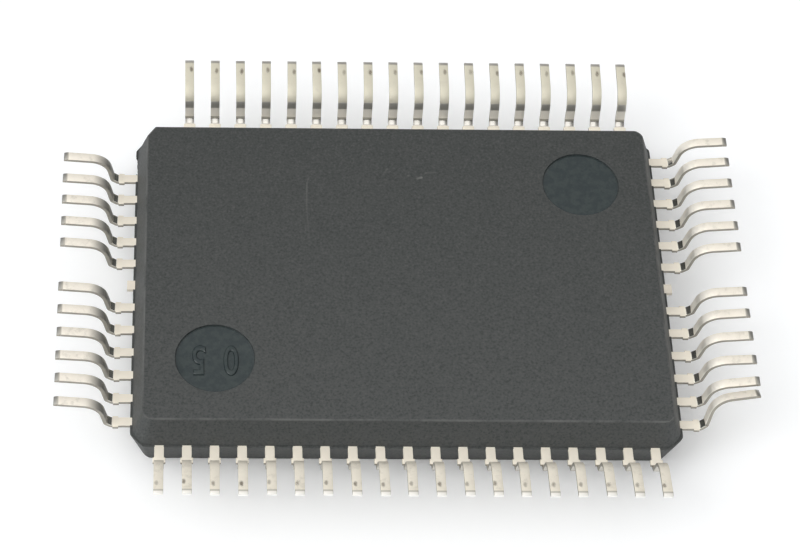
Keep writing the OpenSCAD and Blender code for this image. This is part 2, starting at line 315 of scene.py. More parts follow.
CAMERA_PLACE = (-7.8 * MM, -54.69 * MM, 81.73 * MM)
CAMERA_TURN = (34.49, -1.377, -0.447)
CAMERA_LENS = 115.91
CAMERA_SENSOR = 36
CAMERA_SHIFT = 0.18
CAMERA_NEAR = 1 * MM
CAMERA_FAR = 10

# Light of the room: the sky's strength by height, a window to the left and a lamp in front

SKY_AXIS = (-0.12, 0.0, 0.99)
SKY_LIGHT = 1.17
SKY_STOPS = ((0.0, 0.25), (0.55, 0.28), (0.74, 0.75), (0.85, 0.9), (1.0, 1.0))
WINDOW_AXIS = (-0.7, -0.2, 0.68)
WINDOW_LIGHT = 3.2
WINDOW_EDGE = (math.cos(math.radians(26)), math.cos(math.radians(8)))
LAMP_AXIS = (0.0, -0.62, 0.78)
LAMP_LIGHT = 1.4
LAMP_EDGE = (math.cos(math.radians(18)), math.cos(math.radians(10)))
HORIZON = (0.12, 0.06)

# Paper of the floor, with its side in metres
PAPER_SIDE = 4
PAPER_TONE = (0.965, 0.975, 0.985, 1)
PAPER_ROUGHNESS = 0.9
PAPER_GLOW = 0.07


# Tools of the bench

def deselect_all():
    bpy.ops.object.select_all(action="DESELECT")


def start_piece(name, add_primitive, **sizes):
    """Adds a primitive and opens it in edit mode, all selected, with its object at the origin."""
    deselect_all()
    add_primitive(**sizes)
    piece = bpy.context.object
    piece.name = name
    piece.data.name = name
    bpy.ops.object.mode_set(mode="EDIT")
    return piece


def make_active(piece):
    deselect_all()
    piece.select_set(True)
    bpy.context.view_layer.objects.active = piece


def edit(piece):
    make_active(piece)
    bpy.ops.object.mode_set(mode="EDIT")


def leave_edit():
    bpy.ops.object.mode_set(mode="OBJECT")


def pick(kind, test):
    """Selects those vertices, edges or faces of the open mesh that pass a test, and nothing else."""
    bpy.ops.mesh.select_mode(type={"verts": "VERT", "edges": "EDGE", "faces": "FACE"}[kind])
    bpy.ops.mesh.select_all(action="DESELECT")
    data = bpy.context.edit_object.data
    mesh = bmesh.from_edit_mesh(data)
    for part in getattr(mesh, kind):
        if test(part):
            part.select_set(True)
    mesh.select_flush_mode()
    bmesh.update_edit_mesh(data)


def resize(x=1, y=1, z=1, about=(0, 0, 0)):
    bpy.ops.transform.resize(value=(x, y, z), center_override=about)


def move(x=0, y=0, z=0):
    bpy.ops.transform.translate(value=(x, y, z))


def turn(angle, axis, about):
    """Turns what is selected the right-handed way; with no window the operator turns the other way."""
    bpy.ops.transform.rotate(value=-angle, orient_axis=axis, orient_type="GLOBAL", center_override=about)


def bevel(width, segments):
    bpy.ops.mesh.bevel(offset=width, segments=segments, profile=0.5, affect="EDGES", clamp_overlap=False)


def middle(edge):
    return (edge.verts[0].co + edge.verts[1].co) / 2


def along(edge):
    return (edge.verts[1].co - edge.verts[0].co).normalized()


def level(edge, z):
    return all(abs(vert.co.z - z) < TINY for vert in edge.verts)


def combine(piece, tool, operation):
    """Cuts a tool's shape out of a piece or joins it on, and removes the tool."""
    deselect_all()
    bpy.context.view_layer.objects.active = piece
    bpy.ops.object.modifier_add(type="BOOLEAN")
    modifier = piece.modifiers[-1]
    modifier.operation = operation
    modifier.solver = "EXACT"
    modifier.object = tool
    bpy.ops.object.modifier_apply(modifier=modifier.name)
    bpy.data.objects.remove(tool)


def smooth(piece, angle):
    """Smooth shading up to an angle, with wide faces kept flat beside their rounded edges."""
    make_active(piece)
    bpy.ops.object.shade_smooth_by_angle(angle=math.radians(angle))
    bpy.ops.object.modifier_add(type="WEIGHTED_NORMAL")
    modifier = piece.modifiers[-1]
    modifier.weight = WIDE_FACES_LEAD
    modifier.keep_sharp = True
    bpy.ops.object.modifier_apply(modifier=modifier.name)


# Moulding

def at_gate(edge):
    return middle(edge).x < 0 < middle(edge).y


def upright(edge):
    return abs(along(edge).z) > UPRIGHT


def body_slab():
    """The moulding's outline as a thin land at the parting line, drawn in with draft to both faces."""
    body = start_piece("body_moulding", bpy.ops.mesh.primitive_cube_add, size=1)
    resize(2 * LEDGE_HALF_L, 2 * LEDGE_HALF_W, PARTING_LAND)
    move(z=PARTING_Z - PARTING_LAND / 2)
    pick("edges", lambda edge: upright(edge) and not at_gate(edge))
    bevel(CORNER_C, 1)
    pick("edges", lambda edge: upright(edge) and at_gate(edge))
    bevel(GATE_CORNER_L, 1)
    pick("verts", lambda vert: vert.co.x < TINY - LEDGE_HALF_L and vert.co.y > 0)
    move(y=GATE_CORNER_L - GATE_CORNER_W)
    marked_depth = PARTING_Z - PARTING_LAND
    pick("faces", lambda face: face.normal.z < -FACING)
    bpy.ops.mesh.inset(thickness=marked_depth * math.tan(MARKED_DRAFT), depth=marked_depth)
    under_depth = BODY_H - PARTING_Z
    pick("faces", lambda face: face.normal.z > FACING)
    bpy.ops.mesh.inset(thickness=PARTING_LEDGE, depth=0)
    bpy.ops.mesh.inset(thickness=under_depth * math.tan(UNDER_DRAFT), depth=under_depth)
    leave_edit()
    return body


def on_ledge_edge(edge):
    return level(edge, PARTING_Z) and edge.calc_face_angle_signed(0) > SHARP


def round_body(body):
    """Rounds the corners, the rims of both faces and the edge of the ledge, each by its own radius."""
    edit(body)
    for radius, test in (
        (CORNER_ROUND, lambda edge: upright(edge) and not at_gate(edge)),
        (GATE_CORNER_ROUND, lambda edge: upright(edge) and at_gate(edge)),
        (RIM_ROUND, lambda edge: level(edge, BODY_H) or level(edge, 0)),
        (LEDGE_ROUND, on_ledge_edge),
    ):
        pick("edges", test)
        bpy.ops.transform.edge_bevelweight(value=radius / CORNER_ROUND)
    leave_edit()
    bpy.ops.object.modifier_add(type="BEVEL")
    modifier = body.modifiers[-1]
    modifier.limit_method = "WEIGHT"
    modifier.width = CORNER_ROUND
    modifier.segments = ROUND_STEPS
    bpy.ops.object.modifier_apply(modifier=modifier.name)


def ejector_cutter(place):
    """What an ejector pin leaves: a shallow round pit with a soft rim and a soft corner at its floor."""
    floor = BODY_H - EJECTOR_DEPTH
    cutter = start_piece(
        "ejector_cutter", bpy.ops.mesh.primitive_cylinder_add,
        vertices=EJECTOR_SIDES, radius=EJECTOR_R, depth=EJECTOR_DEPTH - EJECTOR_RIM,
    )
    move(place.x, place.y, floor + (EJECTOR_DEPTH - EJECTOR_RIM) / 2)
    centre = (place.x, place.y, BODY_H)
    pick("edges", lambda edge: level(edge, floor))
    bevel(EJECTOR_FILLET, EJECTOR_STEPS)
    pick("faces", lambda face: face.normal.z > FACING)
    for step in range(EJECTOR_STEPS):
        bpy.ops.mesh.extrude_region_move(TRANSFORM_OT_translate={"value": (0, 0, EJECTOR_RIM)})
        wider = 1 + EJECTOR_RIM / EJECTOR_R
        resize(wider, wider, 1, centre)
    leave_edit()
    return cutter


def dimple_cutter():
    cutter = start_piece(
        "dimple_cutter", bpy.ops.mesh.primitive_cylinder_add,
        vertices=DIMPLE_SIDES, radius=DIMPLE_R, depth=2 * DIMPLE_DEPTH,
    )
    move(DIMPLE_PLACE.x, DIMPLE_PLACE.y, 0)
    pick("edges", lambda edge: level(edge, DIMPLE_DEPTH))
    bevel(DIMPLE_DEPTH / 2, ROUND_STEPS)
    leave_edit()
    return cutter


def gate_cutter():
    """The rough break where the gate was torn off the ledge."""
    cutter = start_piece("gate_cutter", bpy.ops.mesh.primitive_cube_add, size=1)
    resize(2 * PARTING_LEDGE, SCAR_L, 2 * SCAR_H)
    move(-HALF_L - PARTING_LEDGE, SCAR_START + SCAR_L / 2, PARTING_Z)
    bpy.ops.mesh.subdivide(number_cuts=SCAR_CUTS)
    pick("faces", lambda face: face.normal.x > FACING)
    bpy.ops.transform.vertex_random(offset=SCAR_ROUGH, uniform=0, normal=1, seed=SCAR_SEED)
    leave_edit()
    return cutter


def raised_digits():
    """Plain digits that stand up from the floor of the front pit, read from behind."""
    deselect_all()
    bpy.ops.object.text_add()
    digits = bpy.context.object
    digits.data.body = DIGITS
    digits.data.align_x = "CENTER"
    digits.data.align_y = "CENTER"
    digits.data.space_character = DIGIT_SPACING
    digits.data.bevel_depth = DIGIT_SLOPE
    digits.data.bevel_resolution = DIGIT_SLOPE_STEPS
    digits.data.offset = -DIGIT_THIN
    bpy.ops.object.convert(target="MESH")
    bpy.ops.object.mode_set(mode="EDIT")
    bpy.ops.mesh.select_all(action="SELECT")
    bpy.ops.mesh.remove_doubles(threshold=DIGIT_DOUBLES)
    top = max(vert.co.y for vert in bmesh.from_edit_mesh(digits.data).verts)
    scale = DIGIT_H / 2 / top
    resize(-scale * DIGIT_NARROW, -scale, DIGIT_RAISE / DIGIT_SLOPE)
    place = EJECTOR_PLACES[0]
    move(place.x, place.y, BODY_H - EJECTOR_DEPTH)
    bpy.ops.mesh.normals_make_consistent(inside=False)
    leave_edit()
    return digits


def in_pit(point):
    return any((point.xy - place.xy).length < EJECTOR_R + RIM_ROUND for place in EJECTOR_PLACES)


def note_rims(body):
    """Marks the rounded rims of both faces, where a painted highlight makes the moulding paler."""
    rim = body.data.attributes.new("rim", "FLOAT", "FACE")
    steepest, flattest = RIM_SLOPES
    for face in body.data.polygons:
        at_rim = min(face.center.z, BODY_H - face.center.z) < RIM_ROUND and not in_pit(face.center)
        sloping = steepest < abs(face.normal.z) < flattest
        rim.data[face.index].value = 1.0 if at_rim and sloping else 0.0


def model_body():
    body = body_slab()
    round_body(body)
    for place in EJECTOR_PLACES:
        combine(body, ejector_cutter(place), "DIFFERENCE")
    combine(body, dimple_cutter(), "DIFFERENCE")
    combine(body, gate_cutter(), "DIFFERENCE")
    combine(body, raised_digits(), "UNION")
    edit(body)
    bpy.ops.mesh.select_all(action="SELECT")
    bpy.ops.mesh.remove_doubles(threshold=DOUBLES)
    leave_edit()
    note_rims(body)
    smooth(body, BODY_SMOOTH)
    return body


# Leads

def bend_stations(start, arc, steps):
    return [start + arc * k / steps for k in range(steps + 1)]


def crimp_stations():
    first = bend_stations(SHOULDER_RUN, CREASE_ARC, CREASE_STEPS)
    return first + bend_stations(SECOND_CREASE, CREASE_ARC, CREASE_STEPS)


def strip_stations():
    """Where the flat strip is cut across, so that it can be bent there."""
    dam = [DAM_RUN, DAM_RUN + DAM_W]
    tip = bend_stations(STRIP_END - TIP_ROLL_RUN, TIP_ROLL_RUN, TIP_STEPS)[:-1]
    return [-ROOT_RUN] + dam + crimp_stations() + bend_stations(RISER_END, FOOT_ARC, BEND_STEPS) + tip


def in_sight(edge):
    """Whether an edge is off the strip's inner end, which stays square inside the moulding."""
    return middle(edge).y > -LONG_DEPTH + TINY


def on_rolled_edge(edge):
    on_top = middle(edge).z > SHEET_T / 2 and abs(along(edge).z) < FACING
    return on_top and in_sight(edge) and edge.calc_face_angle(0) > SHARP


def on_sheared_edge(edge):
    return level(edge, 0) and in_sight(edge) and edge.calc_face_angle(0) > SHARP


def at_dam_bar(face):
    return abs(face.normal.x) > FACING and DAM_RUN < face.calc_center_median().y < DAM_RUN + DAM_W


def roll_over_tip():
    """Draws the upper face down towards the tip, as the shear does."""
    start = STRIP_END - TIP_ROLL_RUN
    for station in bend_stations(start, TIP_ROLL_RUN, TIP_STEPS)[1:]:
        pick("verts", lambda vert: vert.co.z > SHEET_T - TINY and abs(vert.co.y - station) < TINY)
        move(z=-TIP_ROLL_DROP * ((station - start) / TIP_ROLL_RUN) ** TIP_ROLL_POWER)


def flat_strip():
    """One lead as stamped, flat along +Y from the wall at 0: a tapered root and the dam bar's remains."""
    strip = start_piece("lead", bpy.ops.mesh.primitive_cube_add, size=1)
    length = STRIP_END + LONG_DEPTH
    resize(LEAD_W, length, SHEET_T)
    move(0, STRIP_END - length / 2, SHEET_T / 2)
    for station in strip_stations():
        bpy.ops.mesh.select_all(action="SELECT")
        bpy.ops.mesh.bisect(plane_co=(0, station, 0), plane_no=(0, 1, 0), threshold=DOUBLES)
    pick("faces", at_dam_bar)
    bpy.ops.mesh.extrude_faces_move(TRANSFORM_OT_shrink_fatten={"value": DAM_OUT})
    pick("verts", lambda vert: vert.co.y < -LONG_DEPTH + TINY)
    resize(INNER_TIP_W / LEAD_W)
    roll_over_tip()
    pick("edges", on_sheared_edge)
    bevel(SHEARED_EDGE, 1)
    pick("edges", on_rolled_edge)
    bevel(ROLLED_EDGE, ROLLED_STEPS)
    leave_edit()
    return strip


def note_strip_places(strip):
    """Keeps each point's place on the flat strip, in millimetres, for the plating to follow."""
    places = strip.data.attributes.new("strip", "FLOAT_VECTOR", "POINT")
    for vert in strip.data.vertices:
        places.data[vert.index].vector = vert.co / MM


def pick_past(station, with_station):
    """Selects the strip past a station, with or without the points on it."""
    mesh = bmesh.from_edit_mesh(bpy.context.edit_object.data)
    places = mesh.verts.layers.float_vector["strip"]
    least = (station - TINY if with_station else station + TINY) / MM
    pick("verts", lambda vert: vert[places].y > least)


def ahead(pivot, heading, run):
    return pivot + run * Vector((0, math.cos(heading), math.sin(heading)))


def bend(start, arc, steps, angle, pivot, heading):
    """Bends the strip in small mitred steps, and gives the middle line's place and heading after it."""
    for k, station in enumerate(bend_stations(start, arc, steps)):
        step = angle / steps * (0.5 if k in (0, steps) else 1)
        for with_station in (True, False):
            pick_past(station, with_station)
            turn(step / 2, "X", pivot)
        heading += step
        if k < steps:
            pivot = ahead(pivot, heading, arc / steps)
    return pivot, heading


def model_lead():
    strip = flat_strip()
    note_strip_places(strip)
    edit(strip)
    pivot = Vector((0, SHOULDER_RUN, SHEET_T / 2))
    pivot, heading = bend(SHOULDER_RUN, CREASE_ARC, CREASE_STEPS, CREASE, pivot, 0)
    pivot = ahead(pivot, heading, FACET_RUN)
    pivot, heading = bend(SECOND_CREASE, CREASE_ARC, CREASE_STEPS, CREASE, pivot, heading)
    pivot = ahead(pivot, heading, RISER_RUN)
    bend(RISER_END, FOOT_ARC, BEND_STEPS, -TURN_BACK, pivot, heading)
    leave_edit()
    return strip


def note_value(piece, name, value):
    """One value all over a piece, for its material to read."""
    attribute = piece.data.attributes.new(name, "FLOAT", "POINT")
    attribute.data.foreach_set("value", [value] * len(piece.data.vertices))


def copy_lead(lead, slot, tip_pitch, depth):
    """A lead of its own for one place of a row, with its root fanned in to the die."""
    make_active(lead)
    bpy.ops.object.duplicate(linked=False)
    copy = bpy.context.object
    note_value(copy, "lead_seed", random.random())
    note_value(copy, "long_side", 1.0 if depth == LONG_DEPTH else 0.0)
    bpy.ops.object.mode_set(mode="EDIT")
    pick("verts", lambda vert: vert.co.y < -LONG_DEPTH + TINY)
    move(slot * (tip_pitch - PITCH), LONG_DEPTH - depth, 0)
    return copy


def unsettle():
    """The small sway and lift that handling leaves in a lead, on the open copy."""
    about = Vector((0, SHOULDER_RUN, SHEET_T / 2))
    pick_past(RISER_START, True)
    turn(random.uniform(-MOST_SWAY, MOST_SWAY), "Z", about)
    turn(random.uniform(0, MOST_LIFT), "X", about)


def ring_middle(mesh, station):
    """Middle of the points that lie on one station of the bent strip."""
    places = mesh.verts.layers.float_vector["strip"]
    ring = [vert.co for vert in mesh.verts if abs(vert[places].y - station / MM) < TINY / MM]
    return sum(ring, Vector()) / len(ring)


def lean_out():
    """The front row's form, on the open copy: its riser leans out, its foot is turned up and drawn in."""
    mesh = bmesh.from_edit_mesh(bpy.context.edit_object.data)
    about = ring_middle(mesh, RISER_START)
    pick_past(RISER_START, False)
    turn(-FRONT_LEAN, "X", about)
    about = ring_middle(mesh, FOOT_START)
    pick_past(FOOT_START, False)
    turn(FRONT_TILT, "X", about)
    move(y=-FRONT_DRAWN_IN)


def seat(copy, slot, side, wall):
    """Sets an open copy in its place of a row, and turns the row's wall from +Y to its side of the body."""
    bpy.ops.mesh.select_all(action="SELECT")
    move(slot * PITCH, wall, LEAD_Z)
    turn(side, "Z", (0, 0, 0))
    leave_edit()


def gather(name, leads, row_shade):
    """Joins a row, and notes how much painted shade its risers and its feet take."""
    deselect_all()
    for lead in leads:
        lead.select_set(True)
    bpy.context.view_layer.objects.active = leads[0]
    bpy.ops.object.join()
    row = bpy.context.object
    row.name = name
    row.data.name = name
    for shade_attribute, value in zip(("riser_shade", "foot_shade"), row_shade):
        note_value(row, shade_attribute, value)
    smooth(row, LEAD_SMOOTH)
    return row


def model_row(name, lead, slots, side, wall, tip_pitch, depth, row_shade, leaning=False):
    leads = []
    for slot in slots:
        copy = copy_lead(lead, slot, tip_pitch, depth)
        if leaning:
            lean_out()
        unsettle()
        seat(copy, slot, side, wall)
        leads.append(copy)
    return gather(name, leads, row_shade)


def model_bent_pair(name, lead, side):
    """The two leads at the right front corner: one with its foot lifted, one twisted over towards it."""
    lifted_slot = SHORT_LAST - 1
    lifted = copy_lead(lead, lifted_slot, SHORT_TIP_PITCH, SHORT_DEPTH)
    pivot = ring_middle(bmesh.from_edit_mesh(lifted.data), FOOT_START)
    pick_past(FOOT_START, True)
    turn(NEIGHBOUR_LIFT, "X", pivot)
    seat(lifted, lifted_slot, side, HALF_L)
    twisted = copy_lead(lead, SHORT_LAST, SHORT_TIP_PITCH, SHORT_DEPTH)
    about = Vector((0, SHOULDER_RUN, SHEET_T / 2))
    stations = crimp_stations()[1:]
    for angle, axis in ((-CORNER_TWIST, "Y"), (CORNER_SWEEP, "Z")):
        for station in stations:
            pick_past(station, True)
            turn(angle / len(stations), axis, about)
    seat(twisted, SHORT_LAST, side, HALF_L)
    return gather(name, [lifted, twisted], ROW_PAINTED_SHADE["right"])


body = model_body()
lead = model_lead()
quarter = math.pi / 2

# A row's wall, the pitch of its inner tips and their depth
long_row = (HALF_W, LONG_TIP_PITCH, LONG_DEPTH)
short_row = (HALF_L, SHORT_TIP_PITCH, SHORT_DEPTH)

# One place of the back row and one of the left row, beside the gate, hold no lead
# Tie bars take the middles of the short sides, and the bent pair the last two places of the right one
front_slots = range(-LONG_LAST, LONG_LAST + 1)
back_slots = range(1 - LONG_LAST, LONG_LAST + 1)
left_slots = [slot for slot in range(-SHORT_LAST, SHORT_LAST) if slot != 0]
right_slots = [slot for slot in range(-SHORT_LAST, SHORT_LAST - 1) if slot != 0]
rows = {
    "front_leads": model_row(
        "front_lead_row", lead, front_slots, 2 * quarter, *long_row, ROW_PAINTED_SHADE["front"], leaning=True),
    "back_leads": model_row("back_lead_row", lead, back_slots, 0, *long_row, ROW_PAINTED_SHADE["back"]),
    "left_leads": model_row("left_lead_row", lead, left_slots, quarter, *short_row, ROW_PAINTED_SHADE["left"]),
    "right_leads": model_row(
        "right_lead_row", lead, right_slots, -quarter, *short_row, ROW_PAINTED_SHADE["right"]),
    "bent_leads": model_bent_pair("bent_lead_pair", lead, -quarter),
}
bpy.data.objects.remove(lead)


# Finishes

def add(tree, kind, values=None, **settings):
    """Adds a shader node, with its settings and the values of its unlinked inputs."""
    made = tree.nodes.new(kind)
    for name, value in settings.items():
        setattr(made, name, value)
    for name, value in (values or {}).items():
        made.inputs[name].default_value = value
    return made


def link(tree, output, target):
    tree.links.new(output, target)


def math_node(tree, operation, first, second=None, third=None):
    made = add(tree, "ShaderNodeMath", operation=operation)
    for index, source in enumerate((first, second, third)):
        if source is None:
            continue
        if isinstance(source, (int, float)):
            made.inputs[index].default_value = source
        else:
            link(tree, source, made.inputs[index])
    return made.outputs[0]


def times(tree, first, second):
    return math_node(tree, "MULTIPLY", first, second)


def larger(tree, first, second):
    return math_node(tree, "MAXIMUM", first, second)


def graded(tree, value, change, base):
    """A base, with as much of a change as the value says."""
    return math_node(tree, "MULTIPLY_ADD", value, change, base)


def mix_colour(tree, factor, first, second):
    made = add(tree, "ShaderNodeMix", data_type="RGBA")
    link(tree, factor, made.inputs[0])
    for index, source in ((6, first), (7, second)):
        if isinstance(source, tuple):
            made.inputs[index].default_value = (*source, 1)
        else:
            link(tree, source, made.inputs[index])
    return made.outputs[2]


def lay_over(tree, tone, mask, colour, share=1):
    """Lays a colour over a tone where the mask is, by a share of the mask."""
    if share != 1:
        mask = times(tree, mask, share)
    return mix_colour(tree, mask, tone, colour)


def noted(tree, name, output="Fac"):
    """What the modelling has noted on a piece."""
    return add(tree, "ShaderNodeAttribute", attribute_name=name).outputs[output]


def split_axes(tree, vector):
    made = add(tree, "ShaderNodeSeparateXYZ")
    link(tree, vector, made.inputs[0])
    return made.outputs


def object_millimetres(tree):
    """Object coordinates in millimetres."""
    coordinate = add(tree, "ShaderNodeTexCoord")
    scale = add(tree, "ShaderNodeVectorMath", {1: (1 / MM, 1 / MM, 1 / MM)}, operation="MULTIPLY")
    link(tree, coordinate.outputs["Object"], scale.inputs[0])
    return scale.outputs[0]


def new_material(name):
    material = bpy.data.materials.new(name)
    material.use_nodes = True
    tree = material.node_tree
    shader = tree.nodes["Principled BSDF"]
    return material, tree, shader


def new_group(name, inputs, outputs):
    group = bpy.data.node_groups.new(name, "ShaderNodeTree")
    for label, kind in inputs:
        group.interface.new_socket(name=label, in_out="INPUT", socket_type=kind)
    for label, kind in outputs:
        group.interface.new_socket(name=label, in_out="OUTPUT", socket_type=kind)
    entry = group.nodes.new("NodeGroupInput")
    leave = group.nodes.new("NodeGroupOutput")
    return group, entry, leave


def make_speckle():
    """Fine speckle of a filled or pressed surface and a broader mottle, on coordinates in millimetres."""
    group, entry, leave = new_group(
        "Speckle",
        [("Vector", "NodeSocketVector"), ("Grains per mm", "NodeSocketFloat")],
        [("Grain", "NodeSocketFloat"), ("Mottle", "NodeSocketFloat")],
    )
    fine = add(group, "ShaderNodeTexNoise", {"Detail": 3, "Roughness": 0.6})
    link(group, entry.outputs["Vector"], fine.inputs["Vector"])
    link(group, entry.outputs["Grains per mm"], fine.inputs["Scale"])
    broad = add(group, "ShaderNodeTexNoise", {"Detail": 4, "Roughness": 0.55})
    link(group, entry.outputs["Vector"], broad.inputs["Vector"])
    mottles = math_node(group, "DIVIDE", entry.outputs["Grains per mm"], MOTTLE_BROADER)
    link(group, mottles, broad.inputs["Scale"])
    link(group, fine.outputs["Fac"], leave.inputs["Grain"])
    link(group, broad.outputs["Fac"], leave.inputs["Mottle"])
    return group


def make_rolling():
    """Fine lines that the rolling mill leaves along Y, and dull patches, on coordinates in millimetres."""
    group, entry, leave = new_group(
        "Rolling lines",
        [("Vector", "NodeSocketVector"), ("Lines per mm", "NodeSocketFloat")],
        [("Lines", "NodeSocketFloat"), ("Dull", "NodeSocketFloat")],
    )
    drawn_out = add(group, "ShaderNodeVectorMath", {1: DRAWN_OUT}, operation="MULTIPLY")
    link(group, entry.outputs["Vector"], drawn_out.inputs[0])
    lines = add(group, "ShaderNodeTexNoise", {"Detail": 2, "Roughness": 0.5})
    link(group, drawn_out.outputs[0], lines.inputs["Vector"])
    link(group, entry.outputs["Lines per mm"], lines.inputs["Scale"])
    dull = add(group, "ShaderNodeTexNoise", {"Scale": 2.2, "Detail": 3, "Roughness": 0.6})
    link(group, entry.outputs["Vector"], dull.inputs["Vector"])
    spread = add(group, "ShaderNodeMapRange", {"From Min": 0.35, "From Max": 0.7})
    link(group, dull.outputs["Fac"], spread.inputs["Value"])
    link(group, lines.outputs["Fac"], leave.inputs["Lines"])
    link(group, spread.outputs["Result"], leave.inputs["Dull"])
    return group


SPECKLE = make_speckle()
ROLLING = make_rolling()


def place_group(tree, group, vector, **values):
    made = tree.nodes.new("ShaderNodeGroup")
    made.node_tree = group
    link(tree, vector, made.inputs["Vector"])
    for name, value in values.items():
        made.inputs[name.replace("_", " ")].default_value = value
    return made.outputs


def ramp_between(tree, value, start, end):
    """0 before start and 1 past end, with a soft step between; end may be the smaller of the two."""
    limits = {"From Min": start, "From Max": end}
    made = add(tree, "ShaderNodeMapRange", limits, interpolation_type="SMOOTHSTEP")
    link(tree, value, made.inputs["Value"])
    return made.outputs["Result"]


def stretch(tree, value, start, end, soft):
    """1 on a stretch of a value and 0 beside it."""
    opened = ramp_between(tree, value, start - soft, start + soft)
    closed = ramp_between(tree, value, end + soft, end - soft)
    return times(tree, opened, closed)


def near(tree, vector, centre, radius, soft):
    """1 within a radius of an upright line through a point, in millimetres, and 0 outside."""
    flat = add(tree, "ShaderNodeVectorMath", {1: (1, 1, 0)}, operation="MULTIPLY")
    link(tree, vector, flat.inputs[0])
    gap = add(tree, "ShaderNodeVectorMath", {1: centre}, operation="DISTANCE")
    link(tree, flat.outputs[0], gap.inputs[0])
    edge = add(tree, "ShaderNodeMapRange", {"From Min": radius + soft, "From Max": radius - soft})
    link(tree, gap.outputs["Value"], edge.inputs["Value"])
    return edge.outputs["Result"]


def scuff(tree, vector, start, end, width):
    """1 on a short stroke seen from above, fading towards its end, and 0 beside it; in millimetres."""
    run = Vector((*end, 0)) - Vector((*start, 0))
    from_start = {1: (1, 1, 0), 2: (-start[0], -start[1], 0)}
    flat = add(tree, "ShaderNodeVectorMath", from_start, operation="MULTIPLY_ADD")
    link(tree, vector, flat.inputs[0])
    share = add(tree, "ShaderNodeVectorMath", {1: run / run.length_squared}, operation="DOT_PRODUCT")
    link(tree, flat.outputs[0], share.inputs[0])
    reached = add(tree, "ShaderNodeClamp")
    link(tree, share.outputs["Value"], reached.inputs["Value"])
    nearest = add(tree, "ShaderNodeVectorMath", {0: run}, operation="SCALE")
    link(tree, reached.outputs[0], nearest.inputs["Scale"])
    gap = add(tree, "ShaderNodeVectorMath", operation="DISTANCE")
    link(tree, flat.outputs[0], gap.inputs[0])
    link(tree, nearest.outputs[0], gap.inputs[1])
    line = ramp_between(tree, gap.outputs["Value"], width, width * SCUFF_CORE)
    return times(tree, line, graded(tree, reached.outputs[0], -SCUFF_FADE, 1.0))


def epoxy_tone(tree, grain, along_width):
    """Mottled epoxy with a painted sheen that lightens it towards the front, dark pores and pale grains of
    filler.
    """
    tone = mix_colour(tree, grain["Mottle"], *MOULD_TONES)
    tone = lay_over(tree, tone, ramp_between(tree, along_width, *FRONT_SHEEN_RUN), FRONT_SHEEN_TONE, FRONT_SHEEN_SHARE)
    tone = lay_over(tree, tone, ramp_between(tree, grain["Grain"], *PORE_GRAIN), PORE_TONE, PORE_SHARE)
    return lay_over(tree, tone, ramp_between(tree, grain["Grain"], *FILLER_GRAIN), FILLER_TONE, FILLER_SHARE)


# Painted highlight along the rims, patchy with the mottle
def rim_highlight_mask(tree, grain):
    patchy = graded(tree, ramp_between(tree, grain["Mottle"], *RIM_MOTTLE), RIM_MORE, RIM_LEAST)
    return times(tree, noted(tree, "rim"), patchy)


def pit_floors(tree, place):
    """1 inside the two round pits and 0 outside."""
    first, second = (
        near(tree, place, (centre.x / MM, centre.y / MM, 0), EJECTOR_R / MM, PIT_SOFT)
        for centre in EJECTOR_PLACES
    )
    return larger(tree, first, second)


def pit_tone(tree, place):
    smears = place_group(tree, SPECKLE, place, Grains_per_mm=PIT_GRAINS)["Grain"]
    return mix_colour(tree, ramp_between(tree, smears, *PIT_SMEAR), *PIT_TONES)


def make_mould():
    """Black epoxy with a fine spark-eroded grain; the pits are smoother and cooler, the rims carry a painted
    highlight and the face a painted sheen towards the front.
    """
    material, tree, shader = new_material("mould")
    place = object_millimetres(tree)
    axes = split_axes(tree, place)
    grain = place_group(tree, SPECKLE, place, Grains_per_mm=MOULD_GRAINS)
    tone = epoxy_tone(tree, grain, axes["Y"])
    tone = lay_over(tree, tone, rim_highlight_mask(tree, grain), RIM_HIGHLIGHT_TONE)
    upper_half = ramp_between(tree, axes["Z"], LEAD_Z / MM, LEAD_Z / MM + UPPER_SOFT)
    for start, end, width, strength in SCUFFS:
        mark = times(tree, scuff(tree, place, start, end, width), upper_half)
        tone = lay_over(tree, tone, mark, SCUFF_TONE, strength)
    pits = times(tree, pit_floors(tree, place), upper_half)
    tone = lay_over(tree, tone, pits, pit_tone(tree, place), PIT_SHARE)
    link(tree, tone, shader.inputs["Base Color"])
    link(tree, graded(tree, pits, PIT_SMOOTHER, MOULD_ROUGHNESS), shader.inputs["Roughness"])
    bump = add(tree, "ShaderNodeBump", {"Distance": MOULD_RELIEF})
    link(tree, graded(tree, pits, PIT_FLATTER, MOULD_BUMP), bump.inputs["Strength"])
    link(tree, grain["Grain"], bump.inputs["Height"])
    link(tree, bump.outputs["Normal"], shader.inputs["Normal"])
    return material


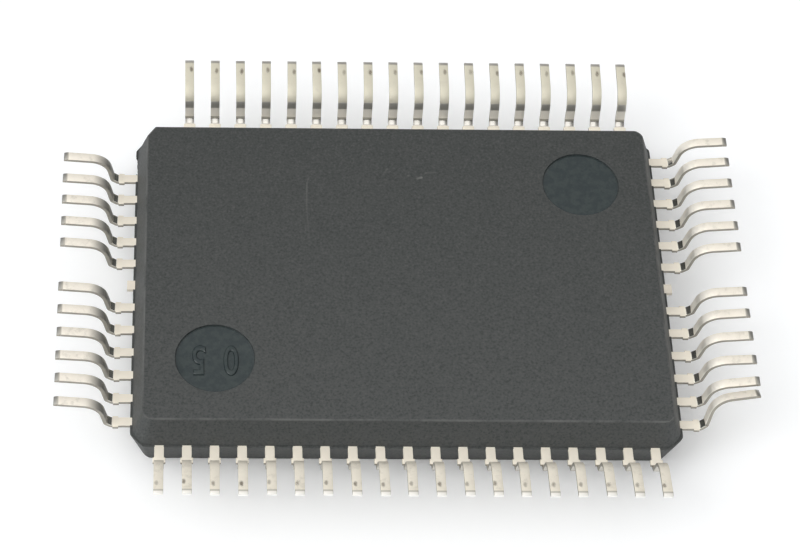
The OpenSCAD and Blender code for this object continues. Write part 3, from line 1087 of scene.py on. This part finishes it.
def probe_mark(tree, strip, chance):
    """The dark dot or streak that a test probe left near a lead's tip, in another place on each lead."""
    split = add(tree, "ShaderNodeSeparateColor")
    link(tree, chance, split.inputs[0])
    place = add(tree, "ShaderNodeCombineXYZ")
    link(tree, graded(tree, split.outputs["Red"], -PROBE_SPREAD, -PROBE_ASIDE), place.inputs[0])
    from_tip = PROBE_IN - STRIP_END / MM
    link(tree, graded(tree, split.outputs["Green"], PROBE_SPREAD, from_tip), place.inputs[1])
    offset = add(tree, "ShaderNodeVectorMath", operation="ADD")
    link(tree, strip, offset.inputs[0])
    link(tree, place.outputs[0], offset.inputs[1])
    squeeze = add(tree, "ShaderNodeVectorMath", {1: PROBE_SQUEEZE}, operation="MULTIPLY")
    link(tree, offset.outputs[0], squeeze.inputs[0])
    ragged = add(tree, "ShaderNodeTexNoise", {"Scale": PROBE_GRAINS, "Detail": 2})
    link(tree, strip, ragged.inputs["Vector"])
    gap = add(tree, "ShaderNodeVectorMath", operation="LENGTH")
    link(tree, squeeze.outputs[0], gap.inputs[0])
    edge = graded(tree, ragged.outputs["Fac"], PROBE_RAGGED, gap.outputs["Value"])
    dot = ramp_between(tree, edge, *PROBE_EDGE)
    return times(tree, dot, graded(tree, split.outputs["Blue"], PROBE_MORE, PROBE_LEAST))


def shaded_sides(tree, place, tip, end):
    """The cut sides of a lead, which take painted shade: between its edges, and the whole flank where the
    tip rolls over.
    """
    before_tip = (STRIP_END - TIP_ROLL_RUN) / MM
    side = stretch(tree, place["Z"], SHEARED_EDGE / MM, SHEET_T / MM - SIDE_BELOW_TOP, SIDE_SOFT)
    side = times(tree, side, ramp_between(tree, place["Y"], before_tip + SIDE_SOFT, before_tip))
    flank = ramp_between(tree, math_node(tree, "ABSOLUTE", place["X"]), *FLANK)
    side = larger(tree, side, times(tree, flank, tip))
    return math_node(tree, "SUBTRACT", side, end)


def lead_zones(tree, strip):
    """Masks of a lead's zones, from the shoulder to the tip, by the place on the flat strip."""
    place = split_axes(tree, strip)
    run = place["Y"]
    soft = ZONE_SOFT
    riser_start = RISER_START / MM
    bend_end = BURNISH_END / MM
    tip_start = (STRIP_END - TIP_ROLL_RUN) / MM
    far_end = STRIP_END / MM
    foot = ramp_between(tree, run, bend_end - soft, bend_end + soft)
    tip = ramp_between(tree, run, tip_start, tip_start + TIP_SOFT)
    end = ramp_between(tree, run, *(far_end - fade for fade in END_FADE))
    return {
        "crimp": stretch(tree, run, SHOULDER_RUN / MM + soft, riser_start - soft, soft),
        "crease": stretch(tree, run, riser_start - soft, riser_start + CREASE_LINE, soft),
        "riser": stretch(tree, run, riser_start - soft, RISER_END / MM, soft),
        "bend": stretch(tree, run, RISER_END / MM, bend_end, soft),
        # Where the painted riser shade runs on over the start of the foot
        "riser_shade_fade": times(tree, foot, ramp_between(tree, run, FOOT_START / MM, bend_end)),
        "foot": foot,
        "tip": tip,
        # A painted shade line where the tip starts to roll over
        "roll_start_shade": stretch(tree, run, tip_start, tip_start + ROLL_START_SHADE_W, soft),
        "end": end,
        "side": shaded_sides(tree, place, tip, end),
    }


def tin_tone(tree, zones, dull, own, long_side):
    """Tones of the tin by zone; rows differ in painted riser and foot shade, sides in their bends; the
    crease, tips, roll-over line and cut sides take painted shade, the long rows' ends a painted highlight.
    """
    fresh = mix_colour(tree, dull, *FRESH_TIN)
    # Feet painted darker by the row's painted foot shade
    worn = lay_over(tree, mix_colour(tree, dull, *WORN_TIN), noted(tree, "foot_shade"), SHADED_FOOT_TIN)
    stain = place_group(tree, SPECKLE, own, Grains_per_mm=STAIN_GRAINS)["Grain"]
    worn = lay_over(tree, worn, ramp_between(tree, stain, *STAIN_GRAIN), STAIN_TONE, STAIN_SHARE)
    riser_shade = mix_colour(tree, noted(tree, "riser_shade"), LIT_RISER, SHADED_RISER)
    short_side = math_node(tree, "SUBTRACT", 1.0, long_side)
    tone = mix_colour(tree, zones["foot"], fresh, worn)
    for mask, colour in (
        # Painted riser shade on the risers, and on the bends and foot starts of the side rows
        (zones["riser"], riser_shade),
        (zones["bend"], mix_colour(tree, long_side, riser_shade, LONG_BEND_TONE)),
        (times(tree, zones["riser_shade_fade"], short_side), riser_shade),
        (times(tree, zones["crease"], long_side), CREASE_SHADOW_TONE),
        (zones["crimp"], mix_colour(tree, long_side, *CRIMP_TONES)),
        (zones["tip"], mix_colour(tree, long_side, *TIP_SHADE_TONES)),
        (times(tree, zones["end"], long_side), END_HIGHLIGHT_TONE),
        (zones["roll_start_shade"], ROLL_START_SHADE_TONE),
        (zones["side"], SIDE_SHADE_TONE),
    ):
        tone = lay_over(tree, tone, mask, colour)
    return tone


def tin_metal(tree, zones, long_side):
    """How metallic the tin is: most at the crimp and the tip, less at the upper bend, least elsewhere."""
    metal = times(tree, zones["bend"], graded(tree, long_side, LONG_BEND_METAL, BEND_METAL))
    for zone in (zones["crimp"], zones["tip"], times(tree, zones["foot"], FOOT_METAL)):
        metal = larger(tree, metal, zone)
    return graded(tree, metal, METAL_MORE, METAL_LEAST)


def make_plating():
    """Matt tin over the formed strip, burnished by the forming tool at the crimp, upper bend and tip."""
    material, tree, shader = new_material("plating")
    strip = noted(tree, "strip", "Vector")
    long_side = noted(tree, "long_side")
    chance = add(tree, "ShaderNodeTexWhiteNoise", noise_dimensions="1D")
    link(tree, noted(tree, "lead_seed"), chance.inputs["W"])
    shift = add(tree, "ShaderNodeVectorMath", {"Scale": OWN_SHIFT}, operation="SCALE")
    link(tree, chance.outputs["Color"], shift.inputs[0])
    own = add(tree, "ShaderNodeVectorMath", operation="ADD")
    link(tree, strip, own.inputs[0])
    link(tree, shift.outputs[0], own.inputs[1])
    rolling = place_group(tree, ROLLING, own.outputs[0], Lines_per_mm=TIN_LINES)
    zones = lead_zones(tree, strip)
    tone = tin_tone(tree, zones, rolling["Dull"], own.outputs[0], long_side)
    mark = times(tree, probe_mark(tree, strip, chance.outputs["Color"]), long_side)
    link(tree, lay_over(tree, tone, mark, PROBE_TONE), shader.inputs["Base Color"])
    link(tree, tin_metal(tree, zones, long_side), shader.inputs["Metallic"])
    rough = graded(tree, rolling["Dull"], TIN_DULLER, TIN_ROUGHNESS)
    for zone, change in ZONE_SMOOTHER.items():
        rough = graded(tree, zones[zone], change, rough)
    link(tree, rough, shader.inputs["Roughness"])
    bump = add(tree, "ShaderNodeBump", {"Strength": TIN_BUMP, "Distance": TIN_RELIEF})
    link(tree, rolling["Lines"], bump.inputs["Height"])
    link(tree, bump.outputs["Normal"], shader.inputs["Normal"])
    return material


def make_sheet():
    """Plated sheet of the die paddle, as at the shoulders of the leads."""
    material, tree, shader = new_material("sheet")
    dull = place_group(tree, ROLLING, object_millimetres(tree), Lines_per_mm=SHEET_LINES)["Dull"]
    link(tree, mix_colour(tree, dull, *SHEET_TONES), shader.inputs["Base Color"])
    shader.inputs["Metallic"].default_value = SHEET_METAL
    link(tree, graded(tree, dull, TIN_DULLER, SHEET_ROUGHNESS), shader.inputs["Roughness"])
    return material


def make_filled(name):
    """A filled or polished inner material: two tones in a fine speckle."""
    dark, light, roughness, grains, metallic = FILLED[name]
    material, tree, shader = new_material(name)
    grain = place_group(tree, SPECKLE, object_millimetres(tree), Grains_per_mm=grains)
    link(tree, mix_colour(tree, grain["Mottle"], dark, light), shader.inputs["Base Color"])
    shader.inputs["Metallic"].default_value = metallic
    link(tree, graded(tree, grain["Grain"], FILLED_ROUGHER, roughness), shader.inputs["Roughness"])
    return material


def wear(piece, material):
    piece.data.materials.clear()
    piece.data.materials.append(material)


def finish_piece(piece, material, node):
    wear(piece, material)
    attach(piece, "root")
    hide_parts(node)


finish_piece(body, make_mould(), "moulded_body")
plating = make_plating()
for node_name, row in rows.items():
    finish_piece(row, plating, node_name)
wear(nodes["die_paddle"], make_sheet())
wear(nodes["die_attach"], make_filled("adhesive"))
wear(nodes["die"], make_filled("silicon"))
gold = make_filled("gold")
for side_name in ("front", "back", "left", "right"):
    wear(nodes[f"{side_name}_wires"], gold)


# Floor, light and camera

def make_floor():
    """White paper under the chip."""
    deselect_all()
    bpy.ops.mesh.primitive_plane_add(size=PAPER_SIDE)
    floor = bpy.context.object
    floor.name = "floor"
    material, tree, shader = new_material("paper")
    shader.inputs["Base Color"].default_value = PAPER_TONE
    shader.inputs["Roughness"].default_value = PAPER_ROUGHNESS
    rays = add(tree, "ShaderNodeLightPath")
    seen = larger(tree, rays.outputs["Is Camera Ray"], rays.outputs["Is Glossy Ray"])
    seen = larger(tree, seen, rays.outputs["Is Transmission Ray"])
    glow = add(tree, "ShaderNodeEmission")
    link(tree, times(tree, seen, PAPER_GLOW), glow.inputs["Strength"])
    both = add(tree, "ShaderNodeAddShader")
    link(tree, shader.outputs[0], both.inputs[0])
    link(tree, glow.outputs[0], both.inputs[1])
    link(tree, both.outputs[0], tree.nodes["Material Output"].inputs["Surface"])
    floor.data.materials.append(material)


def towards(tree, direction, axis):
    """Cosine of the angle between a direction and an axis of the room."""
    cosine = add(tree, "ShaderNodeVectorMath", {1: Vector(axis).normalized()}, operation="DOT_PRODUCT")
    link(tree, direction, cosine.inputs[0])
    return cosine.outputs["Value"]


def light_patch(tree, direction, axis, edge, strength):
    """A soft round patch of light in the room."""
    return times(tree, ramp_between(tree, towards(tree, direction, axis), *edge), strength)


def make_world():
    """A room with a lit ceiling, grey walls, a window, a lamp in front and white below the horizon."""
    world = bpy.data.worlds.new("room")
    bpy.context.scene.world = world
    world.use_nodes = True
    tree = world.node_tree
    direction = add(tree, "ShaderNodeTexCoord").outputs["Generated"]
    sky = add(tree, "ShaderNodeValToRGB")
    link(tree, towards(tree, direction, SKY_AXIS), sky.inputs["Fac"])
    stops = sky.color_ramp.elements
    for index, (place, share) in enumerate(SKY_STOPS):
        stop = stops[index] if index < len(stops) else stops.new(place)
        stop.position = place
        stop.color = (*[share] * 3, 1)
    light = times(tree, sky.outputs["Color"], SKY_LIGHT)
    for axis, edge, strength in (
        (WINDOW_AXIS, WINDOW_EDGE, WINDOW_LIGHT),
        (LAMP_AXIS, LAMP_EDGE, LAMP_LIGHT),
    ):
        light = math_node(tree, "ADD", light, light_patch(tree, direction, axis, edge, strength))
    below_horizon = ramp_between(tree, split_axes(tree, direction)["Z"], *HORIZON)
    link(tree, larger(tree, light, below_horizon), tree.nodes["Background"].inputs["Strength"])
    tree.nodes["Background"].inputs["Color"].default_value = (1, 1, 1, 1)


def add_camera():
    data = bpy.data.cameras.new("camera")
    data.sensor_width = CAMERA_SENSOR
    data.lens = CAMERA_LENS
    data.shift_x = CAMERA_SHIFT
    data.clip_start = CAMERA_NEAR
    data.clip_end = CAMERA_FAR
    camera = bpy.data.objects.new("camera", data)
    bpy.context.scene.collection.objects.link(camera)
    camera.location = CAMERA_PLACE
    camera.rotation_euler = [math.radians(angle) for angle in CAMERA_TURN]
    bpy.context.scene.camera = camera


make_floor()
make_world()
add_camera()
bpy.context.scene.view_settings.view_transform = "Standard"
